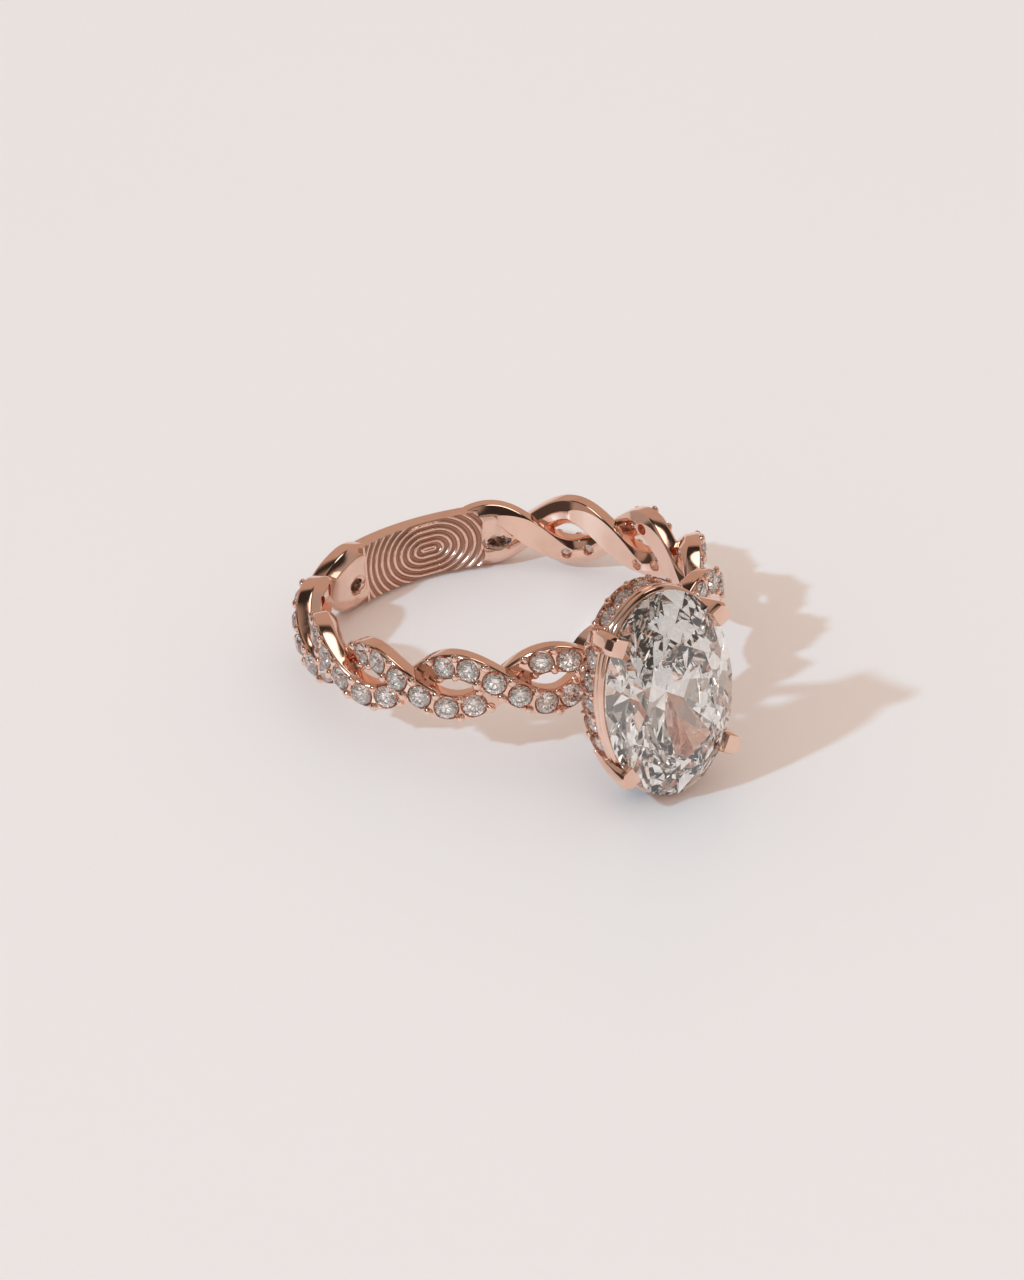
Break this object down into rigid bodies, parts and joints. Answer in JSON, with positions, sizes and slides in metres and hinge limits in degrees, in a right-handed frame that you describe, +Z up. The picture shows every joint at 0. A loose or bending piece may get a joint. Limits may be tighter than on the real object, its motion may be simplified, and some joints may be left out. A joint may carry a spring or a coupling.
{
  "type": "twisted shank ring",
  "caption": "Rose gold ring with a two-strand twisted shank set with small stones, a plain solid back and an oval stone in a four-claw basket.",
  "frame": {"origin": "centre of the bounding box, on the surface that the ring lies on", "axes": "+X towards the head with the large stone, +Y across the finger hole, +Z up. The ring lies on its side, so the finger hole's axis is near +Z, tipped by 9.6 degrees towards -X"},
  "size_m": [0.0244, 0.02, 0.01],
  "materials": {
    "rose_gold": null,
    "main_stone": "cut and polished colourless gem",
    "small_stones": "cut and polished colourless gems"
  },
  "bodies": {
    "root": {"ring_metal": "rose_gold", "main_stone": "main_stone", "shank_stones": "small_stones", "halo_stones": "small_stones"}
  },
  "joints": []
}
